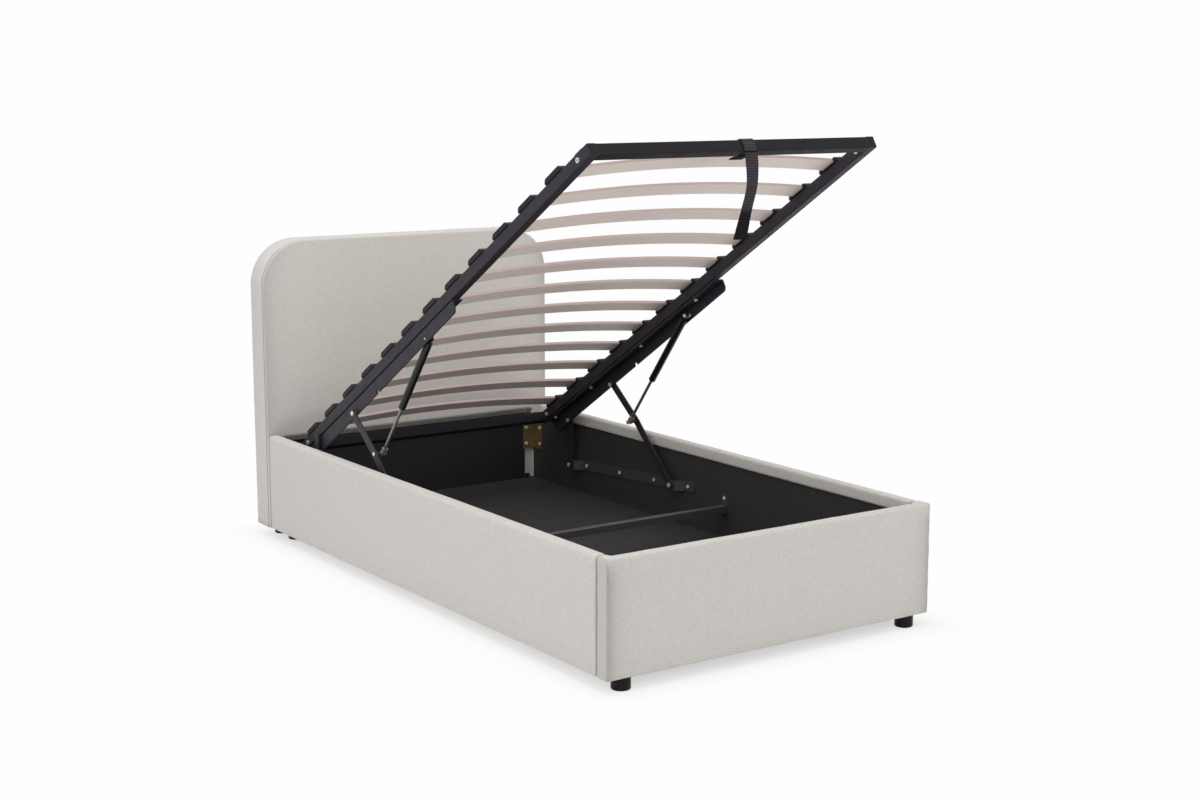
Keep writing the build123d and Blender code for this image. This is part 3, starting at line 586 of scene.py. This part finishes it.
# Side rail covers
# The same fabric and foam over each side board. The cover turns in over the top edge and ends
# inside the well, its head end has round corners, and it butts against the footboard's return.
outer_round = 0.012
inner_round = 0.008
head_round = 0.018
rail_grid = 0.018
rail_crown = 0.0025
sides = ((-1, "left"), (1, "right"))
for side, word in sides:
    low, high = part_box(f"rail_upholstery_{word}")
    outer = side * max(abs(low.x), abs(high.x))
    inner = side * min(abs(low.x), abs(high.x))
    board_inner = side * min(abs(corner.x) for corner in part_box(f"side_rail_{word}"))
    bm = bmesh.new()
    section = [
        (outer, low.z),
        (outer, high.z),
        (inner, high.z),
        (inner, flap_low),
        (board_inner, flap_low),
        (board_inner, low.z),
    ]
    foot_end = low.y + seam_gap
    head_end = high.y - 0.0015
    end = bm.faces.new([bm.verts.new((x, foot_end, z)) for x, z in section])
    draw_out(bm, [end], (0, head_end - foot_end, 0))
    bmesh.ops.recalc_face_normals(bm, faces=bm.faces)
    for skin, radius, segments in ((outer, outer_round, 6), (inner, inner_round, 4)):
        round_edges(
            bm,
            lambda middle, edge: runs(edge, 1) and middle.z > high.z - near and abs(middle.x - skin) < near,
            radius,
            segments,
        )
    # Both ends get painted shade where they turn in towards the seams.
    mark = seam_shade_layer(bm)
    turn_in(bm, 1, foot_end, 1, corner_round, mark)
    turn_in(bm, 1, head_end, -1, head_round, mark)
    turn_in(bm, 2, low.z, 1, hem_round)
    cut_grid(bm, 1, foot_end + corner_round, head_end - head_round, rail_grid)
    cut_grid(bm, 2, low.z + hem_round, high.z - outer_round, rail_grid)
    waves(bm, size=0.18, height=0.0007)
    waves(bm, size=0.05, height=0.0003)
    for vert in bm.verts:
        if abs(vert.co.x - outer) < 0.004:
            up = 1 - abs((vert.co.z - low.z) / (high.z - low.z) * 2 - 1) ** 4
            along = 1 - abs((vert.co.y - low.y) / (high.y - low.y) * 2 - 1) ** 12
            vert.co.x += side * rail_crown * max(up, 0) * max(along, 0)
        if vert.co.z < low.z + near:
            vert.co.z += hem_sway * noise.noise(vert.co / 0.05)
    lay_weave(bm)
    rail_cover = piece_from(bm, f"rail_cover_{word}", "base", fabric)
    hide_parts(f"rail_upholstery_{word}")


# Headboard cover
# One padded front panel that wraps round the edge to a sewn seam on the sides and top, and a
# border strip behind it, over boards with two large round upper corners.
head_low, head_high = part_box("headboard_upholstery")
corner_radius = 0.15
front_round = 0.006
back_round = 0.007
seam_back = 0.0085
seam_depth = 0.0035
seam_half_width = 0.0031
under_cloth = 0.0022
head_grid = 0.022
head_crown = 0.006
crown_reach = 0.07
edge_shade_reach = 0.03
recess_top = 0.33
frame_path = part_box("side_tube_right")[1].x + 0.012
recess_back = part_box("head_inner_panel")[1].y
recess_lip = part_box("head_inner_panel")[0].y - 0.006
panel_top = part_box("head_inner_panel")[1].z + 0.0015
well_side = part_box("well_lining")[1].x + 0.0003
bm = block(head_low, head_high)
round_edges(
    bm,
    lambda middle, edge: runs(edge, 1) and middle.z > head_high.z - near,
    corner_radius,
    segments=24,
)
round_edges(
    bm,
    lambda middle, edge: middle.y < head_low.y + near / 2 and middle.z > head_low.z + near,
    front_round,
    segments=5,
)
round_edges(
    bm,
    lambda middle, edge: middle.y > head_high.y - near / 2 and middle.z > head_low.z + near,
    back_round,
    segments=3,
)
mark = seam_shade_layer(bm)
for offset in (-0.0022, -0.001, 0, 0.001, 0.003):
    cut(bm, 1, head_low.y + seam_back + offset)
bm.normal_update()
moves = []
for vert in bm.verts:
    off_seam = abs(vert.co.y - head_low.y - seam_back)
    way = Vector((vert.normal.x, 0, vert.normal.z))
    if off_seam < seam_half_width and way.length > 0.1:
        sunk = seam_depth * (1 - off_seam / seam_half_width) ** 2
        moves.append((vert, way.normalized() * sunk, off_seam))
# The seam groove is sunk, and shade is painted along its bottom.
for vert, move, off_seam in moves:
    vert.co -= move
    vert[mark] = 1.0 if off_seam < 0.0015 else 0.0
for place in (-well_side, -frame_path, frame_path, well_side):
    cut(bm, 0, place)
cut(bm, 2, recess_top)
cut(bm, 2, panel_top)
push_in(
    bm,
    head_low.y,
    lambda middle: (abs(middle.x) < frame_path and middle.z < recess_top)
    or (abs(middle.x) < well_side and middle.z < panel_top),
    recess_lip,
)
push_in(bm, recess_lip, lambda middle: abs(middle.x) < well_side and middle.z < panel_top, recess_back)
bmesh.ops.recalc_face_normals(bm, faces=bm.faces)
cut_grid(bm, 0, head_low.x, head_high.x, head_grid)
cut_grid(bm, 2, head_low.z, head_high.z, head_grid)
waves(bm, size=0.2, height=0.0007)
waves(bm, size=0.06, height=0.0003)
# The front is painted darker near its edges, more on the sides than along the top: painted shade.
nap = edge_shade_layer(bm)
for vert in bm.verts:
    if vert.co.y < head_low.y + 0.003 and vert.co.z > recess_top:
        off_top = head_high.z - vert.co.z
        off_side = head_high.x - abs(vert.co.x)
        rim = min(off_top, off_side, (vert.co.z - recess_top) * 0.8)
        vert.co.y -= head_crown * (1 - math.exp(-max(rim, 0) / crown_reach))
        off_edge = min(off_top, off_side)
        in_corner = Vector((corner_radius - off_side, corner_radius - off_top))
        if in_corner.x > 0 and in_corner.y > 0:
            off_edge = corner_radius - in_corner.length
        side_share = min(1, max(0, 0.5 + (off_top - off_side) / 0.2))
        vert[nap] = (0.22 + 0.44 * side_share) * math.exp(-max(off_edge - front_round, 0) / edge_shade_reach)
for vert in bm.verts:
    vert.co.y = min(vert.co.y, head_high.y - under_cloth)
lay_weave(bm)
headboard_cover = piece_from(bm, "headboard_cover", "base", fabric)
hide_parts("headboard_upholstery")


# Back cloth
# A thin dark non-woven cloth, stapled flat over the back of the headboard. It ends 40 mm inside
# the outline, on the turned edge of the cover, and stands nearly 2 mm proud of it. Its fibres
# give a dull, slightly flecked grey.
back_low, back_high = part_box("headboard_back_cover")
back_cloth, back_tree, back_surface = new_finish("spunbond_dust_cloth", "#3A3938", 0.95)
back_place = add(back_tree, "ShaderNodeTexCoord")
fleck = add(
    back_tree,
    "ShaderNodeTexNoise",
    sockets={"Scale": 420.0, "Detail": 2.0},
    links={"Vector": back_place.outputs["Object"]},
)
fleck_tone = add(
    back_tree,
    "ShaderNodeMixRGB",
    sockets={1: linear("#333231"), 2: linear("#454443")},
    links={0: fleck.outputs["Fac"]},
)
back_tree.links.new(fleck_tone.outputs["Color"], back_surface.inputs["Base Color"])
back_radius = 0.11
cloth_thickness = 0.0012
cloth_grid = 0.05
bm = block(Vector((back_low.x, back_high.y - cloth_thickness, back_low.z)), back_high)
round_edges(
    bm,
    lambda middle, edge: runs(edge, 1) and middle.z > back_high.z - near,
    back_radius,
    segments=16,
)
cut_grid(bm, 0, back_low.x, back_high.x, cloth_grid)
cut_grid(bm, 2, back_low.z, back_high.z, cloth_grid)
for vert in bm.verts:
    vert.co.y += 0.0006 * noise.noise(vert.co / 0.12)
back_cover = piece_from(bm, "back_cloth_panel", "base", back_cloth, smooth=False)
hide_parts("headboard_back_cover")


# Boards, lining and floor
# Raw particle board inside the walls, and black faced hardboard and chipboard in the well. The
# facing is matt with a faint even grain.
def stipple(name, dark, light, roughness, size, depth, metallic=0.0, stretch=(1, 1, 1), shine=0.5):
    """A finish with a fine even grain of a real size, in colour, relief and gloss."""
    material, tree, surface = new_finish(name, dark, roughness, metallic)
    surface.inputs["Specular IOR Level"].default_value = shine
    where = add(tree, "ShaderNodeTexCoord")
    drawn_out = add(
        tree,
        "ShaderNodeMapping",
        sockets={"Scale": stretch},
        links={"Vector": where.outputs["Object"]},
    )
    speck = add(
        tree,
        "ShaderNodeTexNoise",
        sockets={"Scale": 1 / size, "Detail": 4.0, "Roughness": 0.6},
        links={"Vector": drawn_out.outputs["Vector"]},
    )
    tone = add(
        tree,
        "ShaderNodeMixRGB",
        sockets={1: linear(dark), 2: linear(light)},
        links={0: speck.outputs["Fac"]},
    )
    relief = add(
        tree,
        "ShaderNodeBump",
        sockets={"Strength": 0.4, "Distance": depth},
        links={"Height": speck.outputs["Fac"]},
    )
    rubbed = add(
        tree,
        "ShaderNodeTexNoise",
        sockets={"Scale": 1 / (14 * size), "Detail": 3.0, "Roughness": 0.55},
        links={"Vector": drawn_out.outputs["Vector"]},
    )
    gloss = add(
        tree,
        "ShaderNodeMapRange",
        sockets={"From Min": 0.3, "From Max": 0.7, "To Min": roughness - 0.07, "To Max": roughness + 0.07},
        links={"Value": rubbed.outputs["Fac"]},
    )
    tree.links.new(tone.outputs["Color"], surface.inputs["Base Color"])
    tree.links.new(relief.outputs["Normal"], surface.inputs["Normal"])
    tree.links.new(gloss.outputs["Result"], surface.inputs["Roughness"])
    return material


def dress(material, *names):
    """Gives CAD nodes a finish."""
    for name in names:
        for slot in nodes[name].material_slots:
            slot.material = material


# Pressed chips of wood, pale brown and rough, seen only from below.
particle_board = stipple("raw_particle_board", "#B09A78", "#CDBB9B", 0.85, 0.004, 0.0004)
dress(
    particle_board,
    "headboard_panel",
    "headboard_lower_panel",
    "footboard_panel",
    "side_rail_left",
    "side_rail_right",
    "floor_supports",
)

# Printed black paper on hardboard, a charcoal that catches a little light on the long wall.
black_board = stipple("black_faced_hardboard", "#302F2F", "#3A3838", 0.66, 0.003, 0.0001, shine=0.25)
dress(black_board, "well_lining")

# The same facing, painted darker on the panel at the head end for the shade there.
shaded_head_panel_board = stipple("black_faced_head_panel", "#1F1D1F", "#282628", 0.6, 0.003, 0.0001, shine=0.25)
dress(shaded_head_panel_board, "head_inner_panel")

# The floor's facing, rubbed a little, so that it looks almost even.
black_floor = stipple("black_faced_chipboard", "#2D2C2C", "#373535", 0.66, 0.003, 0.0001, shine=0.25)
dress(black_floor, "floor_panel_foot", "floor_panel_head")


# Feet
# Short round blocks of moulded black plastic with a rounded lower rim, screwed under the boards.
# The plastic is smooth and gives one soft light down its side.
foot_plastic = stipple("moulded_black_plastic", "#0F0E0F", "#151415", 0.42, 0.0015, 0.00005, shine=0.15)
dress(foot_plastic, "feet")


# Steel of the frame and the lift
# Tube and plate, bent, punched and welded, in black powder coat with a fine orange peel. Its tone
# is painted lighter on the side tubes and brackets and darker on the cross tubes, as painted light
# and shade; the links and the bars in the well have tones of their own.

# Satin coat of the side tubes and brackets, a black with a breath of violet, painted lighter
# than the cross tubes for the light on their sides.
lit_frame_coat = stipple("satin_black_powder_coat", "#28252B", "#343038", 0.46, 0.0022, 0.00006, shine=0.14)
dress(
    lit_frame_coat,
    "side_tube_left",
    "side_tube_right",
    "upper_bracket_left",
    "upper_bracket_right",
    "retainer_tabs",
)

# The same coat painted darker and more neutral on the two cross tubes, for the shade on them.
shaded_cross_coat = stipple("satin_black_cross_tube", "#1C1B1D", "#272528", 0.5, 0.0022, 0.00006, shine=0.1)
dress(shaded_cross_coat, "foot_tube", "head_tube")

# Coat of the links, with a little more shine where they are handled.
plate_coat = stipple("worn_black_powder_coat", "#262428", "#322F34", 0.46, 0.003, 0.00008, shine=0.2)
dress(plate_coat, "front_link_left", "front_link_right", "rear_link_left", "rear_link_right")

# Greyer coat of the bars in the well, which lets their edges show on the dark lining.
bar_coat = stipple("matt_black_powder_coat", "#3B383D", "#48444A", 0.5, 0.003, 0.00008, shine=0.4)
dress(bar_coat, "cross_bar", "cross_bar_brackets", "base_plate_left", "base_plate_right")


# Rivets, screws and corner plates
# Steel rivets pressed over at the pivots, screws driven from inside the well, bolts in the slat
# frame, cast forks at the struts' lower ends and bent corner plates. The domed heads on the front
# links are the outer ends of the studs that carry the struts, and the bolts at the frame's foot
# corners have a black hexagon in their heads, painted shade for the deep sockets.

# Bright zinc, a nearly white metal that shows as small light dots.
bright_zinc = stipple("bright_zinc_plate", "#CFCDC9", "#E9E7E3", 0.42, 0.002, 0.00003, metallic=0.55)
dress(bright_zinc, "base_pivots", "bracket_rivets", "strut_top_pins", "frame_bolts")

# Zinc with a brass tint, warmer dots on the screws.
screw_zinc = stipple("pale_brass_zinc_plate", "#EBDDC2", "#F8F0E0", 0.48, 0.002, 0.00003, metallic=0.3)
dress(screw_zinc, "wall_screws")

# A dull grey casting.
fork_zinc = stipple("dull_zinc_casting", "#8F897F", "#B5ADA0", 0.45, 0.003, 0.00005, metallic=0.75)
dress(fork_zinc, "strut_fork_left", "strut_fork_right")

# Yellow passivated zinc, an uneven brownish gold.
yellow_zinc = stipple("yellow_zinc_plate", "#85724F", "#A5926A", 0.46, 0.008, 0.00004, metallic=0.85)
dress(yellow_zinc, "corner_plates")

stud_radius = 0.0062
stud_height = 0.0032
stud_round = 0.0026
stud_y = 0.284518
stud_z = 0.381233
for side, word in sides:
    link_low, link_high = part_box(f"front_link_{word}")
    outer = side * max(abs(link_low.x), abs(link_high.x))
    bm = bmesh.new()
    bmesh.ops.create_circle(bm, cap_ends=True, segments=28, radius=stud_radius)
    draw_out(bm, bm.faces[:], (0, 0, stud_height))
    round_edges(bm, lambda middle, edge: middle.z > stud_height - 1e-5, stud_round, segments=5)
    bmesh.ops.rotate(bm, verts=bm.verts, cent=(0, 0, 0), matrix=Matrix.Rotation(side * math.pi / 2, 3, "Y"))
    bmesh.ops.translate(bm, verts=bm.verts, vec=(outer, stud_y, stud_z))
    stud = piece_from(bm, f"link_stud_{word}", f"front_link_{word}", bright_zinc)

# A small black hexagon in each bolt's head, painted shade for the deep socket.
painted_socket_shade = stipple("oiled_black_socket", "#0B0A0A", "#131211", 0.7, 0.001, 0.00002, shine=0.05)
bolt_low, bolt_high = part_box("frame_bolts")
head_radius = 0.0065
socket_radius = 0.0027
socket_depth = 0.0015
proud = 0.0001
for side, word in sides:
    bm = bmesh.new()
    bmesh.ops.create_circle(bm, cap_ends=True, segments=6, radius=socket_radius)
    draw_out(bm, bm.faces[:], (0, 0, -socket_depth))
    bmesh.ops.rotate(bm, verts=bm.verts, cent=(0, 0, 0), matrix=Matrix.Rotation(side * math.pi / 2, 3, "Y"))
    bmesh.ops.translate(
        bm,
        verts=bm.verts,
        vec=(side * (bolt_high.x + proud), bolt_low.y + head_radius, bolt_high.z - head_radius),
    )
    piece_from(bm, f"bolt_socket_{word}", "platform", painted_socket_shade, smooth=False)


# Gas struts
# A drawn tube that narrows at its top to an eye on the bracket's pin, and a rod that slides in it
# and ends in a fork beside the link's stud.

# Smooth black paint on the tube, with one narrow light along it.
strut_paint = stipple("smooth_black_paint", "#121112", "#181718", 0.32, 0.004, 0.00002, shine=0.3)
dress(strut_paint, "strut_cylinder_left", "strut_cylinder_right")

# Ground and hardened steel, a dark mirror that looks grey.
rod_steel = stipple("ground_dark_steel", "#7C7A77", "#8F8D8A", 0.3, 0.001, 0.00001, metallic=0.75)
dress(rod_steel, "strut_rod_left", "strut_rod_right")


# Slats
# Birch plywood pressed in a bow, with a pale pinkish finish. The grain runs along the slat, drawn
# out nearly 40 times, and the sawn edges show the plies, darker and pinker than the faces. The
# edges are the faces that look along the frame, which slopes by the angle below.
frame_slope = math.radians(31.5)
slat_wood = stipple("sealed_birch_plywood", "#E2D2CB", "#F0E4DD", 0.5, 0.1, 0.0001, stretch=(0.8, 30, 30))
wood_tree = slat_wood.node_tree
wood_surface = wood_tree.nodes["Principled BSDF"]
grain_colour = wood_surface.inputs["Base Color"].links[0].from_socket
faced = add(wood_tree, "ShaderNodeTexCoord")
foot_way = (0, -math.cos(frame_slope), math.sin(frame_slope))
edge_on = add(
    wood_tree,
    "ShaderNodeVectorMath",
    sockets={1: foot_way},
    links={0: faced.outputs["Normal"]},
    operation="DOT_PRODUCT",
)
edge_share = add(wood_tree, "ShaderNodeMath", links={0: edge_on.outputs["Value"]}, operation="ABSOLUTE")
plies = add(
    wood_tree,
    "ShaderNodeMapRange",
    sockets={"From Min": 0.5, "From Max": 0.85},
    links={"Value": edge_share.outputs["Value"]},
)
sawn = add(
    wood_tree,
    "ShaderNodeMixRGB",
    sockets={2: linear("#B39E98")},
    links={0: plies.outputs["Result"], 1: grain_colour},
)
wood_tree.links.new(sawn.outputs["Color"], wood_surface.inputs["Base Color"])
dress(slat_wood, *[f"slat_{number:02d}" for number in range(1, 13)])


# Slat holders and tube plugs
# Moulded shoes pressed on the side tubes, each with a pocket for a slat's end, and plugs in the
# tubes' ends. The plastic is black and dull.
holder_plastic = stipple("moulded_black_holder", "#151418", "#1E1D21", 0.5, 0.002, 0.00006, shine=0.15)
dress(holder_plastic, "slat_holders_left", "slat_holders_right", "tube_plugs")


# Pull strap
# Black ribbed webbing: a loop sewn tight round the foot tube, with its sewn end behind, and a tail
# that hangs from it in a slack bend. The ribs are drawn 4 mm apart, about the finest that shows.
rib_gap = 0.004
wave_period = 0.314
webbing, webbing_tree, webbing_surface = new_finish("ribbed_black_webbing", "#161517", 0.85)
webbing_surface.inputs["Specular IOR Level"].default_value = 0.08
webbing_place = add(webbing_tree, "ShaderNodeUVMap", uv_map="weave")
ribs = add(
    webbing_tree,
    "ShaderNodeTexWave",
    sockets={"Scale": wave_period / rib_gap, "Distortion": 0.5, "Detail": 1.0},
    links={"Vector": webbing_place.outputs["UV"]},
    bands_direction="Y",
)
rib_mark = add(webbing_tree, "ShaderNodeAttribute", attribute_name="ribbed")
rib_share = add(
    webbing_tree,
    "ShaderNodeMath",
    links={0: ribs.outputs["Fac"], 1: rib_mark.outputs["Fac"]},
    operation="MULTIPLY",
)
# The rib crests are painted far lighter than the black webbing: painted highlights.
rib_highlight_tone = add(
    webbing_tree,
    "ShaderNodeMixRGB",
    sockets={1: linear("#0D0C0D"), 2: linear("#565259")},
    links={0: rib_share.outputs["Value"]},
)
webbing_tree.links.new(rib_highlight_tone.outputs["Color"], webbing_surface.inputs["Base Color"])
rib_relief = add(
    webbing_tree,
    "ShaderNodeBump",
    sockets={"Strength": 0.6, "Distance": 0.0008},
    links={"Height": rib_share.outputs["Value"]},
)
webbing_tree.links.new(rib_relief.outputs["Normal"], webbing_surface.inputs["Normal"])

loop_low, loop_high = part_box("strap_loop")
loop_middle = (loop_low + loop_high) / 2
tube_depth = 0.028
tube_height = 0.034
loop_slack = 0.0006
loop_round = 0.004
loop_grid = 0.005
webbing_thickness = 0.002
half_loop = Vector((loop_high.x - loop_low.x, tube_depth + loop_slack, tube_height + loop_slack)) / 2
bm = block(-half_loop, half_loop)
round_edges(bm, lambda middle, edge: runs(edge, 0), loop_round, segments=5)
bmesh.ops.delete(bm, geom=[face for face in bm.faces if abs(face.normal.x) > 0.9], context="FACES")
cut_grid(bm, 0, -0.02, 0.02, loop_grid)
cut_grid(bm, 2, -tube_height / 2, tube_height / 2, loop_grid)
cut_grid(bm, 1, -tube_depth / 2, tube_depth / 2, loop_grid)
layer = bm.loops.layers.uv.new("weave")
for face in bm.faces:
    upright = abs(face.normal.y) > abs(face.normal.z)
    for loop in face.loops:
        loop[layer].uv = (loop.vert.co.x, loop.vert.co.z if upright else loop.vert.co.y)
ribbed = bm.verts.layers.float.new("ribbed")
for vert in bm.verts:
    vert[ribbed] = 1.0
    if vert.co.z > 0.012:
        vert.co.z += 0.004 * (1 - (vert.co.y / 0.0145) ** 2)
    if vert.co.y < -0.01:
        vert.co.y -= 0.002 * (1 - min(1, (vert.co.z / 0.018) ** 2))
bmesh.ops.rotate(bm, verts=bm.verts, cent=(0, 0, 0), matrix=Matrix.Rotation(-frame_slope, 3, "X"))
bmesh.ops.translate(bm, verts=bm.verts, vec=loop_middle)
loop_band = piece_from(bm, "strap_loop_band", "platform", webbing)
thicken = loop_band.modifiers.new("webbing_thickness", "SOLIDIFY")
thicken.thickness = webbing_thickness
thicken.offset = 1
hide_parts("strap_loop")

end_length = 0.05
end_thickness = 0.0036
bm = bmesh.new()
bmesh.ops.create_grid(bm, x_segments=8, y_segments=12, size=0.5)
layer = bm.loops.layers.uv.new("weave")
ribbed = bm.verts.layers.float.new("ribbed")
for face in bm.faces:
    for loop in face.loops:
        loop[layer].uv = (loop.vert.co.x * 0.04, loop.vert.co.y * end_length)
for vert in bm.verts:
    back = vert.co.y + 0.5
    vert[ribbed] = 0.3
    vert.co = Vector(
        (
            loop_middle.x + vert.co.x * (loop_high.x - loop_low.x),
            loop_low.y + 0.016 + end_length * back,
            loop_low.z + 0.0035 - 0.011 * back**1.5,
        )
    )
sewn_end = piece_from(bm, "strap_sewn_end", "platform", webbing)
thicken = sewn_end.modifiers.new("webbing_thickness", "SOLIDIFY")
thicken.thickness = end_thickness
thicken.offset = 0

tail_low, tail_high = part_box("pull_strap")
strap_width = tail_high.x - tail_low.x
hang = [joint for joint in frame["joints"] if joint["name"] == "pull_strap_swing"][0]["pos_m"]
hang_top = Vector(((tail_low.x + tail_high.x) / 2, hang[1], hang[2]))
hang_length = tail_high.z - tail_low.z - 0.002
bm = bmesh.new()
bmesh.ops.create_grid(bm, x_segments=8, y_segments=56, size=0.5)
layer = bm.loops.layers.uv.new("weave")
for face in bm.faces:
    for loop in face.loops:
        loop[layer].uv = (loop.vert.co.x * strap_width, loop.vert.co.y * hang_length)
ribbed = bm.verts.layers.float.new("ribbed")
for vert in bm.verts:
    down = 0.5 - vert.co.y
    late = max(0.0, (down - 0.35) / 0.65)
    turn = math.radians(-7 + 17 * math.sin(math.pi * min(down / 1.1, 1)) - 6 * late**2)
    turn *= min(1, down / 0.12)
    aside = 0.011 + 0.003 * math.sin(math.pi * min(down / 0.6, 1)) - 0.023 * late**1.5
    away = -0.003 * math.sin(2 * math.pi * down) + 0.014 * late**1.6
    cup = 0.0015 * (1 - (2 * vert.co.x) ** 2)
    reach_out = vert.co.x * strap_width
    vert[ribbed] = 1 - 0.85 * min(1, max(0, (down - 0.62) / 0.08))
    vert.co = hang_top + Vector(
        (
            aside + reach_out * math.cos(turn) + cup * math.sin(turn),
            away + reach_out * math.sin(turn) - cup * math.cos(turn),
            -hang_length * down,
        )
    )
strap_tail = piece_from(bm, "strap_tail", "pull_strap", webbing)
thicken = strap_tail.modifiers.new("webbing_thickness", "SOLIDIFY")
thicken.thickness = webbing_thickness
thicken.offset = 0
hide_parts("pull_strap")
